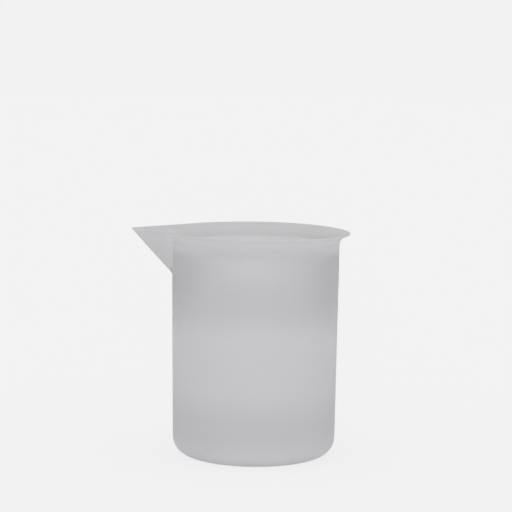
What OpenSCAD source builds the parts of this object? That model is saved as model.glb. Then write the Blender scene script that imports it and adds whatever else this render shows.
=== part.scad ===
// Resin mixing cup: one soft moulded beaker with a flared lip and a pointed pouring spout.
// The cup stands on Z = 0, its axis is the Z axis, and the spout points along -X.

/* [Body] */
// Height from the surface it stands on to the top of the lip
cup_h = 72; // [60:1:110]
// Outside diameter at the top of the straight wall, under the lip
body_d = 53.3; // [46:0.1:70]
// Outside diameter at the bottom of the straight wall, above the rounded foot
foot_d = 52; // [44:0.2:68]
// Outside radius between the wall and the flat base
foot_r = 5.8; // [3:0.2:10]
// Thickness of the wall
wall_t = 1.8; // [1:0.1:3]
// Thickness of the floor
floor_t = 2.2; // [1.2:0.1:4]

/* [Lip] */
// How far the lip stands out past the top of the wall
lip_reach = 3.4; // [2.4:0.1:6]
// Slope of the lip's underside above level, in degrees
lip_slope = 25; // [15:1:40]
// Outside radius of the bend from the wall into the lip
lip_bend_r = 3; // [2:0.1:5]
// Width of the flat land along the top of the lip
lip_land = 0.5; // [0.3:0.1:1]
// Slope of the lip's upper side, from the land down towards the cup, in degrees
lip_dish = 14; // [5:1:25]
// Inside radius of the bend from the wall into the lip
lip_inner_r = 4; // [3:0.1:7]
// Rounding of the outer edge of the lip and the spout
edge_r = 0.3; // [0.2:0.05:0.5]

/* [Spout] */
// How far the tip of the spout stands out past the edge of the lip
spout_reach = 9.2; // [5:0.1:14]
// Height of the spout, from the foot of its keel up to the top of the lip
spout_h = 14; // [9:0.5:25]
// Angle between the two flanks below the lip, seen from above, in degrees
spout_v = 50; // [40:1:76]
// Outside radius of the keel and the tip
spout_nose_r = 1; // [0.6:0.1:2]
// Inside radius of the keel, where the last drops run
spout_channel_r = 0.6; // [0.4:0.1:1.5]
// Thickness of the spout, measured square to the keel
spout_t = 1.6; // [1:0.1:2.5]

/* [Hidden] */
$fn = 96;

// Steps along each rounded stretch of a section
arc_steps = 8;
// How far the two hollows run on past the top, so that they cut it clean
cut_over = 1;
// How far the spout's flanks tuck in behind the edge of the lip before they end
tuck = 0.3;
// How far the foot of the spout runs on into the cup's hollow, which then trims it
root_over = 1;

// A point at a distance and an angle from another, in a section or a plan
function polar(centre, radius, angle) = centre + radius * [cos(angle), sin(angle)];
// The points of an arc, from one angle to the other
function arc(centre, radius, from, to) =
    [for (i = [0:arc_steps]) polar(centre, radius, from + (to - from) * i / arc_steps)];

body_r = body_d / 2;
inner_r = body_r - wall_t;
inner_foot_r = foot_d / 2 - wall_t;
foot_centre = [foot_d / 2 - foot_r, foot_r];
inner_corner_r = max(foot_r - wall_t, 1);
inner_foot_centre = [inner_foot_r - inner_corner_r, floor_t + inner_corner_r];

// The lip is worked out inwards from its outer edge. A bend is no larger than the lip has room for.
lip_r = body_r + lip_reach;
edge_centre = [lip_r - edge_r, cup_h - edge_r];
land_r = edge_centre[0] - lip_land;

bend_r = min(lip_bend_r, (edge_centre[0] - body_r) / (1 - sin(lip_slope)));
bend_end_r = body_r + bend_r * (1 - sin(lip_slope));
bend_end_z = edge_centre[1] - edge_r / cos(lip_slope) - (edge_centre[0] - bend_end_r) * tan(lip_slope);
bend_centre = [body_r + bend_r, bend_end_z - bend_r * cos(lip_slope)];

inner_bend_r = min(lip_inner_r, (land_r - inner_r) / (1 - sin(lip_dish)));
inner_bend_end_r = inner_r + inner_bend_r * (1 - sin(lip_dish));
inner_bend_end_z = cup_h - (land_r - inner_bend_end_r) * tan(lip_dish);
inner_bend_centre = [inner_r + inner_bend_r, inner_bend_end_z - inner_bend_r * cos(lip_dish)];

// The bends and the rounded edge, as points of the cup's section from the wall outwards
bend = arc(bend_centre, bend_r, 180, 90 + lip_slope);
inner_bend = arc(inner_bend_centre, inner_bend_r, 180, 90 + lip_dish);
edge = arc(edge_centre, edge_r, lip_slope - 90, 90);

// The outside of the cup, and the hollow inside it
module body_solid() {
    rotate_extrude()
        polygon(concat(
            [[0, 0]],
            arc(foot_centre, foot_r, -90, 0),
            bend,
            edge,
            [[0, cup_h]]
        ));
}

module body_hollow() {
    rotate_extrude()
        polygon(concat(
            [[0, floor_t]],
            arc(inner_foot_centre, inner_corner_r, -90, 0),
            inner_bend,
            [[land_r, cup_h], [land_r, cup_h + cut_over], [0, cup_h + cut_over]]
        ));
}

// The spout's keel is a straight line from the wall up to the tip
tip_r = lip_r + spout_reach;
keel_foot_z = cup_h - spout_h;
wall_lean = (body_r - foot_d / 2) / (bend_centre[1] - foot_r);
keel_foot_r = body_r - (bend_centre[1] - keel_foot_z) * wall_lean;
keel_lean = (tip_r - keel_foot_r) / (spout_h - edge_r);
function keel_reach(z) = keel_foot_r + (z - keel_foot_z) * keel_lean;
function keel_z(reach) = keel_foot_z + (reach - keel_foot_r) / keel_lean;
// Level distance between the outside and the inside of the keel
keel_gap = spout_t * sqrt(1 + keel_lean * keel_lean);
channel_reach = keel_reach(cup_h) - keel_gap;

// Half the angle between the flanks: below the lip, and at the top of it, where they pass just inside its edge
low_flank = spout_v / 2;
top_flank = asin((lip_r - tuck - spout_nose_r) / (tip_r - spout_nose_r));
channel_top_flank = asin((land_r - tuck - spout_channel_r) / (channel_reach - spout_channel_r));

// Outline of the spout at one height: a round nose, and two flanks that end where they are nearest the axis.
// inset draws the whole outline in.
function outline(z, reach, nose_r, flank, inset = 0) =
    let (
        nose = [-(reach - nose_r), 0],
        r = nose_r - inset,
        away = (reach - nose_r) * sin(flank) + r,
        half = concat(arc(nose, r, 180, 90 + flank), [polar([0, 0], away, 90 + flank)])
    )
    [for (i = [0:len(half) - 1]) [half[i][0], half[i][1], z],
     for (i = [len(half) - 1:-1:1]) [half[i][0], -half[i][1], z]];

// A solid through a stack of outlines that have the same number of points, from the lowest up
module loft(outlines) {
    n = len(outlines[0]);
    last = len(outlines) - 1;
    polyhedron(
        points = [for (ring = outlines) for (point = ring) point],
        faces = concat(
            [[for (i = [n - 1:-1:0]) i]],
            [for (k = [0:last - 1]) for (i = [0:n - 1]) each [
                [k * n + i, k * n + (i + 1) % n, (k + 1) * n + (i + 1) % n],
                [k * n + i, (k + 1) * n + (i + 1) % n, (k + 1) * n + i]
            ]],
            [[for (i = [0:n - 1]) last * n + i]]
        )
    );
}

// The outside of the spout, whose flanks lean out as the lip does, and whose edge is rounded as the lip's is
module spout_solid() {
    start_z = keel_z(inner_foot_r - root_over);
    loft(concat(
        [outline(start_z, keel_reach(start_z), spout_nose_r, low_flank)],
        [for (p = concat(bend, [edge[0]]))
            let (lean = (p[0] - body_r) / (edge[0][0] - body_r))
            outline(p[1], keel_reach(p[1]), spout_nose_r, low_flank + (top_flank - low_flank) * lean)],
        [for (p = arc(edge_centre, edge_r, 0, 90))
            outline(p[1], tip_r, spout_nose_r, top_flank, lip_r - p[0])]
    ));
}

// The channel inside the spout, which opens into the cup's hollow
module spout_hollow() {
    start_z = keel_z(inner_foot_r - root_over + keel_gap);
    loft(concat(
        [outline(start_z, keel_reach(start_z) - keel_gap, spout_channel_r, low_flank)],
        [for (p = concat(inner_bend, [[land_r, cup_h]]))
            let (lean = (p[0] - inner_r) / (land_r - inner_r))
            outline(
                p[1], keel_reach(p[1]) - keel_gap, spout_channel_r,
                low_flank + (channel_top_flank - low_flank) * lean
            )],
        [outline(cup_h + cut_over, channel_reach, spout_channel_r, channel_top_flank)]
    ));
}

module cup() {
    color([0.78, 0.78, 0.79])
        difference() {
            union() {
                body_solid();
                spout_solid();
            }
            body_hollow();
            spout_hollow();
        }
}

cup();
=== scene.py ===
"""A resin mixing cup: one soft moulding of milky silicone with a flared lip and a pointed pouring spout.

Lengths are in metres and Z is up. The cup stands on Z = 0, its axis is the Z axis, and its spout points
along -X.
"""
import math

import bpy
from mathutils import Matrix, Vector


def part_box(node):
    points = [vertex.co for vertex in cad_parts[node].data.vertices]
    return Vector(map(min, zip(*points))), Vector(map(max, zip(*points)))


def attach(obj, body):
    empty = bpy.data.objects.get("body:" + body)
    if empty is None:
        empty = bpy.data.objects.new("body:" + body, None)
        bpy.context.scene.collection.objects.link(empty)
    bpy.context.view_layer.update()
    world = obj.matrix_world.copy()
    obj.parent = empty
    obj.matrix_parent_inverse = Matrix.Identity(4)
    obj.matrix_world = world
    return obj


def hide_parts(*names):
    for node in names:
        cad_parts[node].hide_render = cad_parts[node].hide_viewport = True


MM = 0.001

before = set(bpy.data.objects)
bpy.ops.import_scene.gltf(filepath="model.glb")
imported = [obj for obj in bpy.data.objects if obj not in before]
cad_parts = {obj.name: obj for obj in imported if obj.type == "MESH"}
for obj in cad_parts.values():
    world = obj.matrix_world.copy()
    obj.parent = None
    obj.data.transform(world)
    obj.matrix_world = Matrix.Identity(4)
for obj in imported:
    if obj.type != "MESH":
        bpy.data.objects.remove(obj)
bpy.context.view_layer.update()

# Overall sizes, from the frame. The spout reaches a little further out than the solid's.
TIP_OVER = 0.4 * MM
CUP_LOW, CUP_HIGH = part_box("cup")
CUP_H = CUP_HIGH.z
LIP_R = CUP_HIGH.x
TIP_R = -CUP_LOW.x + TIP_OVER

# Body
BODY_R = 26.65 * MM
FOOT_WALL_R = 26.0 * MM
FOOT_R = 5.8 * MM
WALL_T = 1.8 * MM
FLOOR_T = 2.2 * MM

# Lip
EDGE_R = 0.2 * MM
LIP_LAND = 0.5 * MM
LIP_SLOPE = math.radians(25)
LIP_DISH = math.radians(14)
BEND_R = 3.0 * MM
INNER_BEND_R = 4.0 * MM

# Spout
SPOUT_H = 14.0 * MM
SPOUT_T = 1.6 * MM
NOSE_R = 0.8 * MM
CHANNEL_R = 0.8 * MM
LOW_FLANK = math.radians(25)
FLANK_TUCK = 0.3 * MM
SPOUT_BLEND = 0.6 * MM
CHANNEL_BLEND = 1.6 * MM
# The least that a flank's distance is divided by, so that it stays finite all round
LEAST_COSINE = 0.05

# How the soft rim has settled: the spout's tip has curled up, and the side away from it has sagged
TIP_RISE = 0.45 * MM
RISE_START = 22 * MM
RIM_SAG = 0.45 * MM
SETTLE_START = 58 * MM

# How finely the cup is divided. The rows are close from just below the spout up to the lip.
FOOT_STEPS = 16
CORNER_STEPS = 14
BEND_STEPS = 12
EDGE_STEPS = 8
LAND_STEPS = 4
LONG_ROW = 4 * MM
ROW = 0.55 * MM
ROWS_BELOW_SPOUT = 2 * MM
TURN_STEPS = 224
GATHER = 0.65
WELD = 0.004 * MM

# Camera
CAMERA_PLACE = Vector((0.087, -604.7, 131.47)) * MM
CAMERA_PITCH = math.radians(6.387)
CAMERA_ROLL = math.radians(0.703)
SENSOR_WIDTH = 36
FOCAL_PIXELS = 1908.35
FRAME_PIXELS = 512
NEAR_CLIP = 0.01
FAR_CLIP = 20

# Stage and light
STAGE_COLOUR = (0.887, 0.887, 0.887, 1)
WHITE = (1, 1, 1, 1)
FLOOR_SIZE = 8
FLOOR_GLOW = 1.015
FLOOR_GLOW_SHARE = 0.85
BACKDROP_GLOW = 1.0
WORLD_LIGHT = 0.9
LAMP_LIGHT = 0.16
LAMP_HEIGHT = math.radians(12)
LAMP_WIDTH = math.radians(16)

# Zones of the silicone, where its clearness changes and where painted light and shade are laid. Each pair is
# where a zone's soft border starts and where it ends.
# From the axis outwards
LIP_FROM = (26.6 * MM, 27.2 * MM)
LINING_TO = (25.8 * MM, 26.6 * MM)
THROAT_FROM = (24.9 * MM, 25.2 * MM)
# Upwards
FOOT_BELOW = (1.0 * MM, 5.0 * MM)
# Where the band of painted shade a little above the foot starts and ends
BAND_ABOVE = (3 * MM, 9 * MM)
BAND_BELOW = (13 * MM, 24 * MM)
CLEAR_ABOVE = (36 * MM, 56 * MM)
# Where the painted light in the clear part gives way to its own tint
TINT_ABOVE = (50 * MM, 58 * MM)
THROAT_ABOVE = (57 * MM, 59 * MM)
LINING_ABOVE = (64.6 * MM, 65.8 * MM)
LIP_ABOVE = (67.4 * MM, 68.2 * MM)
RIM_ABOVE = (70.9 * MM, 71.5 * MM)
# Along X, away from the spout
SPOUT_TO = (-30 * MM, -26 * MM)

# How clear the silicone is, from 0 to 1. It clears from lower down, and a little less, towards the sides.
# The change towards the sides stands in for the shade along the cup's left and right edges as seen from the
# front: painted shade, not a property of the silicone.
CLEAR_LOW = 0.08
CLEAR_HIGH = 0.95
CLEAR_LESS = 0.1
CLEAR_DIP = 5 * MM
CLEAR_TRANSMISSION = 0.95
TRANSLUCENCY = 0.6
HAZE_COLOUR = (0.5, 0.5, 0.5, 1)
HAZE = 110.0

# Tones of the silicone. The first, the cloud, the clear and the through tones are its own; the others are
# painted light and shade, laid by zone
MILK = (0.87, 0.87, 0.885, 1)
# Painted shade: a darker band a little above the foot
PAINTED_SHADE_BAND_TONE = (0.76, 0.76, 0.775, 1)
# Painted light: the lightest tone, laid up the clear wall, at the foot, at mid-height and in the clear part
# low on the wall
PAINTED_LIGHT_WHITE_TONE = (0.99, 0.99, 1.0, 1)
# Painted light inside the top of the wall, a little less than up the outside
PAINTED_LIGHT_LINING_TONE = (0.94, 0.94, 0.945, 1)
# Painted shade on the lip and the inside of its dish
PAINTED_SHADE_LIP_TONE = (0.71, 0.71, 0.705, 1)
# Painted shade, darker still, on the spout
PAINTED_SHADE_SPOUT_TONE = (0.66, 0.66, 0.655, 1)
# Painted shade, darkest, on the rounded top of the rim
PAINTED_SHADE_RIM_TONE = (0.62, 0.62, 0.615, 1)
CLOUD_MILK = (0.93, 0.93, 0.93, 1)
CLEAR_MILK = (0.935, 0.935, 0.95, 1)
THROUGH_MILK = (0.94, 0.94, 0.955, 1)
# How strongly painted light lifts the wall at mid-height
HALFWAY_PAINTED_LIGHT = 0.55

# Surface of the silicone
SILICONE_IOR = 1.41
ROUGHNESS = 0.42
CLOUD_ROUGHNESS = 0.1
CLOUDINESS = 0.15
CLOUD_SCALE = 60.0
GRAIN_SCALE = 900.0
GRAIN_STRENGTH = 0.25
GRAIN_DEPTH = 0.01 * MM
NOISE_DETAIL = 2.0
NOISE_MEAN = 0.5


def polar(centre, radius, angle):
    """A point of the section, (distance from the axis, height), at an angle round a centre."""
    return (centre[0] + radius * math.cos(angle), centre[1] + radius * math.sin(angle))


def arc(centre, radius, start, end, steps):
    """Points of the section along an arc."""
    return [polar(centre, radius, start + (end - start) * i / steps) for i in range(steps + 1)]


def run(start, end, spacing):
    """Points of the section between two others, both left out."""
    steps = max(1, round(math.dist(start, end) / spacing))
    return [
        tuple(a + (b - a) * i / steps for a, b in zip(start, end))
        for i in range(1, steps)
    ]


# The section of the lip, worked out inwards from its outer edge
edge_centre = (LIP_R - EDGE_R, CUP_H - EDGE_R)
land = (edge_centre[0] - LIP_LAND, CUP_H)
bend_end_r = BODY_R + BEND_R * (1 - math.sin(LIP_SLOPE))
bend_end_z = (
    edge_centre[1]
    - EDGE_R / math.cos(LIP_SLOPE)
    - (edge_centre[0] - bend_end_r) * math.tan(LIP_SLOPE)
)
bend_centre = (BODY_R + BEND_R, bend_end_z - BEND_R * math.cos(LIP_SLOPE))
INNER_R = BODY_R - WALL_T
inner_bend_end_r = INNER_R + INNER_BEND_R * (1 - math.sin(LIP_DISH))
inner_bend_end_z = CUP_H - (land[0] - inner_bend_end_r) * math.tan(LIP_DISH)
inner_bend_centre = (INNER_R + INNER_BEND_R, inner_bend_end_z - INNER_BEND_R * math.cos(LIP_DISH))
edge_start = polar(edge_centre, EDGE_R, LIP_SLOPE - math.pi / 2)

# The keel of the spout is a straight line from the wall up to the tip
keel_foot_z = CUP_H - SPOUT_H
wall_lean = (BODY_R - FOOT_WALL_R) / (bend_centre[1] - FOOT_R)
keel_foot_r = BODY_R - (bend_centre[1] - keel_foot_z) * wall_lean
keel_lean = (TIP_R - keel_foot_r) / (SPOUT_H - EDGE_R)
keel_gap = SPOUT_T * math.hypot(1, keel_lean)


def keel_reach(z):
    """How far the outside of the keel is from the axis at one height."""
    return keel_foot_r + (z - keel_foot_z) * keel_lean


def flank_at_rim(rim, reach, nose):
    """Half the angle between the spout's flanks where they pass just inside a circle."""
    return math.asin((rim - FLANK_TUCK - nose) / (reach - nose))


TOP_FLANK = flank_at_rim(LIP_R, TIP_R, NOSE_R)
CHANNEL_TOP_FLANK = flank_at_rim(land[0], keel_reach(CUP_H) - keel_gap, CHANNEL_R)


def soft_max(a, b, blend):
    """The larger of two lengths, with the step between them rounded off."""
    h = max(blend - abs(a - b), 0) / blend
    return max(a, b) + h * h * blend / 4


def soft_min(a, b, blend):
    """The smaller of two lengths, with the step between them rounded off."""
    return -soft_max(-a, -b, blend)


def clamp(value):
    """A value held between 0 and 1."""
    return min(max(value, 0.0), 1.0)


def smooth(value):
    """A smooth step from 0 to 1."""
    value = clamp(value)
    return value * value * (3 - 2 * value)


def pointed(bearing, reach, nose, flank):
    """Distance from the axis to the spout's outline, seen from above, at a bearing from the spout."""
    blend = 2 * nose / math.tan(flank) ** 2
    away = (reach + blend / 4) * math.sin(flank)
    square = math.pi / 2 - flank
    past = abs(bearing) - square
    if past > 0:
        return away * math.cos(past)
    near = away / math.cos(past)
    far = away / max(math.cos(square + abs(bearing)), LEAST_COSINE)
    return soft_min(near, far, blend)


def outside_push(bearing, r, z):
    """How far the spout pushes out the outside of the cup."""
    flank = LOW_FLANK + (TOP_FLANK - LOW_FLANK) * clamp((r - BODY_R) / (edge_start[0] - BODY_R))
    spout = pointed(bearing, keel_reach(z), NOSE_R, flank)
    return soft_max(r, spout, SPOUT_BLEND) - r


def inside_push(bearing, r, z):
    """How far the channel of the spout pushes out the inside of the cup."""
    flank = LOW_FLANK + (CHANNEL_TOP_FLANK - LOW_FLANK) * clamp((r - INNER_R) / (land[0] - INNER_R))
    spout = pointed(bearing, keel_reach(z) - keel_gap, CHANNEL_R, flank)
    return soft_max(r, spout, CHANNEL_BLEND) - r


def cup_section():
    """The cup's section from the middle of its base, round the lip, to the middle of its floor.

    Each point is (distance from the axis, height, share). The share is 0 on the outside and 1 on the inside.
    It grows from one to the other across the flat top of the lip.
    """
    foot_centre = (FOOT_WALL_R - FOOT_R, FOOT_R)
    inner_foot_r = FOOT_WALL_R - WALL_T
    corner_r = FOOT_R - WALL_T
    corner_centre = (inner_foot_r - corner_r, FLOOR_T + corner_r)
    base = (0.0, 0.0)
    floor = (0.0, FLOOR_T)
    foot = arc(foot_centre, FOOT_R, -math.pi / 2, 0, FOOT_STEPS)
    bend = arc(bend_centre, BEND_R, math.pi, math.pi / 2 + LIP_SLOPE, BEND_STEPS)
    edge = arc(edge_centre, EDGE_R, LIP_SLOPE - math.pi / 2, math.pi / 2, EDGE_STEPS)
    inner_bend = arc(inner_bend_centre, INNER_BEND_R, math.pi / 2 + LIP_DISH, math.pi, BEND_STEPS)
    corner = arc(corner_centre, corner_r, 0, -math.pi / 2, CORNER_STEPS)
    waist = (keel_foot_r, keel_foot_z - ROWS_BELOW_SPOUT)
    inner_waist = (keel_foot_r - WALL_T, waist[1])

    outside = [base] + run(base, foot[0], LONG_ROW) + foot
    outside += run(foot[-1], waist, LONG_ROW) + [waist] + run(waist, bend[0], ROW)
    outside += bend + run(bend[-1], edge[0], ROW)
    top = run(edge[-1], land, LIP_LAND / LAND_STEPS)
    inside = [land] + run(land, inner_bend[0], ROW) + inner_bend
    inside += run(inner_bend[-1], inner_waist, ROW) + [inner_waist]
    inside += run(inner_waist, corner[0], LONG_ROW) + corner
    inside += run(corner[-1], floor, LONG_ROW) + [floor]

    points = [(r, z, 0.0) for r, z in outside + edge]
    points += [(r, z, (i + 1) / (len(top) + 1)) for i, (r, z) in enumerate(top)]
    points += [(r, z, 1.0) for r, z in inside]
    return points


def select_only(piece):
    bpy.ops.object.select_all(action="DESELECT")
    piece.select_set(True)
    bpy.context.view_layer.objects.active = piece


def draw_section(name, points):
    """Draws a chain of vertices in the X-Z plane by extruding a single one, step by step."""
    bpy.ops.object.select_all(action="DESELECT")
    bpy.ops.mesh.primitive_plane_add(size=MM)
    piece = bpy.context.object
    piece.name = piece.data.name = name
    bpy.ops.object.mode_set(mode="EDIT")
    bpy.ops.mesh.merge(type="CENTER")
    bpy.ops.transform.translate(value=Vector((points[0][0], 0, points[0][1])))
    for (r, z, _), (next_r, next_z, _) in zip(points, points[1:]):
        step = Vector((next_r - r, 0, next_z - z))
        bpy.ops.mesh.extrude_region_move(TRANSFORM_OT_translate={"value": step})
    bpy.ops.object.mode_set(mode="OBJECT")
    share = piece.vertex_groups.new(name="share")
    for vertex, (_, _, value) in zip(piece.data.vertices, points):
        share.add([vertex.index], value, "REPLACE")
    return piece


def turn_section(piece):
    """Spins the section round the cup's axis into a closed wall."""
    bpy.ops.object.mode_set(mode="EDIT")
    bpy.ops.mesh.select_all(action="SELECT")
    bpy.ops.mesh.spin(steps=TURN_STEPS, angle=math.tau, center=(0, 0, 0), axis=(0, 0, 1))
    bpy.ops.mesh.select_all(action="SELECT")
    bpy.ops.mesh.remove_doubles(threshold=WELD)
    bpy.ops.mesh.normals_make_consistent(inside=False)
    bpy.ops.object.mode_set(mode="OBJECT")


def pull_spout(piece):
    """Gathers the vertices towards the spout, then pulls the spout and its channel out of the wall."""
    share_group = piece.vertex_groups["share"].index
    for vertex in piece.data.vertices:
        x, y, z = vertex.co
        r = math.hypot(x, y)
        if r < WELD:
            continue
        share = sum(g.weight for g in vertex.groups if g.group == share_group)
        bearing = math.atan2(y, -x)
        bearing -= GATHER * math.sin(bearing)
        # All round the rounded edge the push is that of its start, so the edge keeps its shape
        outside = edge_start if z > edge_start[1] else (r, z)
        push = (1 - share) * outside_push(bearing, *outside)
        push += share * inside_push(bearing, min(r, land[0]), z)
        r += push
        vertex.co = (-r * math.cos(bearing), r * math.sin(bearing), z)


def settle_rim(piece):
    """Lifts the tip of the spout a little, and lets the opposite side of the rim sag a little."""
    for vertex in piece.data.vertices:
        x, y, z = vertex.co
        ease = smooth((z - SETTLE_START) / (CUP_H - SETTLE_START))
        rise = TIP_RISE * max(-x - RISE_START, 0) / (TIP_R - RISE_START)
        sag = RIM_SAG * (max(x, 0) / LIP_R) ** 2
        vertex.co.z += ease * (rise - sag)


def make_cup():
    cup = draw_section("cup_moulding", cup_section())
    turn_section(cup)
    pull_spout(cup)
    settle_rim(cup)
    select_only(cup)
    bpy.ops.object.shade_smooth()
    return cup


class Wire:
    """The output of a shader node. Arithmetic on it adds Math nodes, and node() adds any other node."""

    def __init__(self, tree, socket=None):
        self.tree = tree
        self.socket = socket

    def node(self, kind, settings=None, inputs=None, output=0):
        """Adds a node: first its settings, then its inputs, each a value or a wire."""
        made = self.tree.nodes.new(kind)
        for name, value in (settings or {}).items():
            setattr(made, name, value)
        for name, value in (inputs or {}).items():
            if isinstance(value, Wire):
                self.tree.links.new(value.socket, made.inputs[name])
            else:
                made.inputs[name].default_value = value
        return Wire(self.tree, made.outputs[output])

    def maths(self, operation, a, b=0.0):
        return self.node("ShaderNodeMath", {"operation": operation}, {0: a, 1: b})

    def __add__(self, other):
        return self.maths("ADD", self, other)

    __radd__ = __add__

    def __sub__(self, other):
        return self.maths("SUBTRACT", self, other)

    def __rsub__(self, other):
        return self.maths("SUBTRACT", other, self)

    def __mul__(self, other):
        return self.maths("MULTIPLY", self, other)

    __rmul__ = __mul__

    def larger(self, other):
        """This value or the other one, whichever is larger."""
        return self.maths("MAXIMUM", self, other)

    def step(self, start, end):
        """0 up to start, 1 from end on, and a smooth step between them."""
        inputs = {"Value": self, "From Min": start, "From Max": end}
        return self.node("ShaderNodeMapRange", {"interpolation_type": "SMOOTHSTEP"}, inputs)

    def shade(self, first, second):
        """A colour between two others, at this share of the way from the first to the second."""
        return self.node("ShaderNodeMix", {"data_type": "RGBA"}, {0: self, 6: first, 7: second}, output=2)


def new_material(name):
    """An empty material, its output node, and a wire to start from."""
    material = bpy.data.materials.new(name)
    material.use_nodes = True
    tree = material.node_tree
    tree.nodes.clear()
    return material, tree.nodes.new("ShaderNodeOutputMaterial"), Wire(tree)


def silicone():
    """Milky silicone rubber that clears up the wall, and is milky again in the thin lip and the spout. Its
    tone carries painted light and shade, laid by zone.
    """
    material, output, start = new_material("milky_silicone")
    place = start.node("ShaderNodeTexCoord", output="Object")
    x, y, z = (start.node("ShaderNodeSeparateXYZ", inputs={0: place}, output=axis) for axis in "XYZ")
    from_axis = start.maths("SQRT", x * x + y * y)
    cloud, grain = (
        start.node("ShaderNodeTexNoise", inputs={"Vector": place, "Scale": scale, "Detail": NOISE_DETAIL})
        for scale in (CLOUD_SCALE, GRAIN_SCALE)
    )

    # 0 in the middle, as seen from the front, and 1 at the sides of the body. It lays painted shade along
    # those sides.
    side = x * x * (1 / BODY_R ** 2)

    # The zones, each 1 inside and 0 outside
    upper = (z + CLEAR_DIP * side).step(*CLEAR_ABOVE)
    # Painted light is laid at mid-height and at the foot
    halfway = 4 * upper * (1 - upper)
    foot = 1 - z.step(*FOOT_BELOW)
    # Painted shade in a band a little above the foot
    painted_shade_band = z.step(*BAND_ABOVE) * (1 - z.step(*BAND_BELOW))
    # The lip gets painted shade, and stays milky
    lip = from_axis.step(*LIP_FROM).larger(z.step(*LIP_ABOVE))
    # The throat and lining, inside the top of the wall, get painted light
    throat = from_axis.step(*THROAT_FROM) * z.step(*THROAT_ABOVE)
    lining = (1 - from_axis.step(*LINING_TO)) * z.step(*LINING_ABOVE).larger(throat)
    # The spout gets painted shade
    spout = 1 - x.step(*SPOUT_TO)
    # The rounded top of the rim gets painted shade
    rim = z.step(*RIM_ABOVE)

    # Each tone is laid over those before it. All but the cloud are painted light and shade
    tone = painted_shade_band.shade(MILK, PAINTED_SHADE_BAND_TONE)
    for zone, milk in (
        # Painted light up the wall, where it clears
        (upper, PAINTED_LIGHT_WHITE_TONE),
        # Painted light at the foot and at mid-height
        (foot.larger(halfway * HALFWAY_PAINTED_LIGHT), PAINTED_LIGHT_WHITE_TONE),
        # Painted light inside the top of the wall
        (lining, PAINTED_LIGHT_LINING_TONE),
        # Painted shade on the lip
        (lip, PAINTED_SHADE_LIP_TONE),
        # Painted shade on the spout
        (spout, PAINTED_SHADE_SPOUT_TONE),
        # Painted shade on the rim
        (rim, PAINTED_SHADE_RIM_TONE),
        (cloud * CLOUDINESS, CLOUD_MILK),
    ):
        tone = zone.shade(tone, milk)

    bump_inputs = {"Strength": GRAIN_STRENGTH, "Distance": GRAIN_DEPTH, "Height": grain}
    bump = start.node("ShaderNodeBump", inputs=bump_inputs)
    surface = {
        "Base Color": tone,
        "Roughness": ROUGHNESS + CLOUD_ROUGHNESS * (cloud - NOISE_MEAN),
        "Normal": bump,
        "IOR": SILICONE_IOR,
    }
    matt = start.node("ShaderNodeBsdfPrincipled", inputs=surface)
    through = start.node("ShaderNodeBsdfTranslucent", inputs={"Color": THROUGH_MILK, "Normal": bump})
    milky = start.node("ShaderNodeMixShader", inputs={0: TRANSLUCENCY, 1: matt, 2: through})

    # Painted light: the clear part is white low on the wall and takes its own tint only higher up
    tint = z.step(*TINT_ABOVE).shade(PAINTED_LIGHT_WHITE_TONE, CLEAR_MILK)
    surface.update({"Base Color": tint, "Transmission Weight": CLEAR_TRANSMISSION})
    glassy = start.node("ShaderNodeBsdfPrincipled", inputs=surface)

    clear = CLEAR_LOW + (CLEAR_HIGH - CLEAR_LOW - CLEAR_LESS * side) * upper
    clear = clear * (1 - lip.larger(lining))
    mix = start.node("ShaderNodeMixShader", inputs={0: clear, 1: milky, 2: glassy})
    haze = start.node("ShaderNodeVolumeAbsorption", inputs={"Color": HAZE_COLOUR, "Density": HAZE})
    start.tree.links.new(mix.socket, output.inputs["Surface"])
    start.tree.links.new(haze.socket, output.inputs["Volume"])
    return material


def seen(start):
    """1 for the rays that show a surface, straight or through silicone, and 0 for those that light one."""
    kinds = ("Is Camera Ray", "Is Glossy Ray", "Is Transmission Ray")
    camera, glossy, through = (start.node("ShaderNodeLightPath", output=kind) for kind in kinds)
    return camera.larger(glossy.larger(through))


def pale_stage():
    """A pale floor that shows an even tone, with a faint soft shadow."""
    material, output, start = new_material("pale_stage")
    glow = start.node("ShaderNodeEmission", inputs={"Color": STAGE_COLOUR, "Strength": FLOOR_GLOW})
    matt = start.node("ShaderNodeBsdfDiffuse", inputs={"Color": STAGE_COLOUR})
    mix = start.node("ShaderNodeMixShader", inputs={0: seen(start) * FLOOR_GLOW_SHARE, 1: matt, 2: glow})
    start.tree.links.new(mix.socket, output.inputs["Surface"])
    return material


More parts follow.
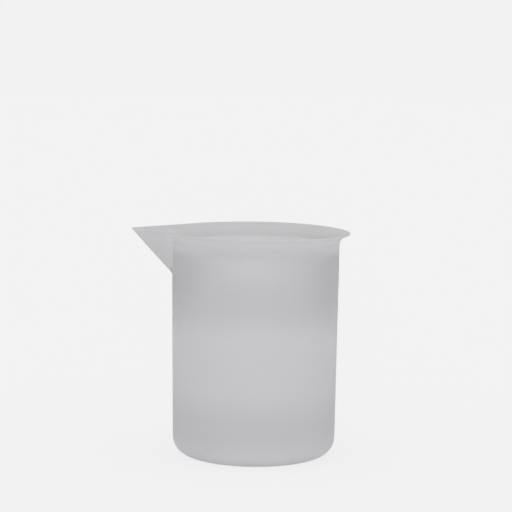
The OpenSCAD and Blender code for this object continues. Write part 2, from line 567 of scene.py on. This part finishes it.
def make_camera():
    """The camera of the photograph, which stands higher than the cup and looks a little down."""
    data = bpy.data.cameras.new("camera")
    data.sensor_width = SENSOR_WIDTH
    data.lens = FOCAL_PIXELS / FRAME_PIXELS * SENSOR_WIDTH
    data.clip_start = NEAR_CLIP
    data.clip_end = FAR_CLIP
    camera = bpy.data.objects.new("camera", data)
    bpy.context.scene.collection.objects.link(camera)
    camera.matrix_world = (
        Matrix.Translation(CAMERA_PLACE)
        @ Matrix.Rotation(math.pi / 2 - CAMERA_PITCH, 4, "X")
        @ Matrix.Rotation(CAMERA_ROLL, 4, "Z")
    )
    bpy.context.scene.camera = camera


def make_world():
    """The tone of the background wherever it is seen, and an even soft light everywhere else."""
    world = bpy.data.worlds.new("studio")
    world.use_nodes = True
    tree = world.node_tree
    tree.nodes.clear()
    start = Wire(tree)
    output = tree.nodes.new("ShaderNodeOutputWorld")
    light = start.node("ShaderNodeBackground", inputs={"Color": WHITE, "Strength": WORLD_LIGHT})
    backdrop = start.node("ShaderNodeBackground", inputs={"Color": STAGE_COLOUR, "Strength": BACKDROP_GLOW})
    mix = start.node("ShaderNodeMixShader", inputs={0: seen(start), 1: light, 2: backdrop})
    tree.links.new(mix.socket, output.inputs["Surface"])
    bpy.context.scene.world = world


def make_lamp():
    """One very wide soft lamp, in front of the cup and above it."""
    lamp = bpy.data.lights.new("soft_lamp", "SUN")
    lamp.energy = LAMP_LIGHT * math.pi
    lamp.angle = LAMP_WIDTH
    holder = bpy.data.objects.new("soft_lamp", lamp)
    bpy.context.scene.collection.objects.link(holder)
    holder.rotation_euler = (math.pi / 2 - LAMP_HEIGHT, 0, 0)


def make_floor():
    bpy.ops.object.select_all(action="DESELECT")
    bpy.ops.mesh.primitive_plane_add(size=FLOOR_SIZE)
    floor = bpy.context.object
    floor.name = floor.data.name = "studio_floor"
    floor.data.materials.append(pale_stage())


make_camera()
make_world()
make_lamp()
make_floor()

cup = make_cup()
cup.data.materials.append(silicone())
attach(cup, "root")
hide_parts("cup")

bpy.context.scene.view_settings.view_transform = "Standard"
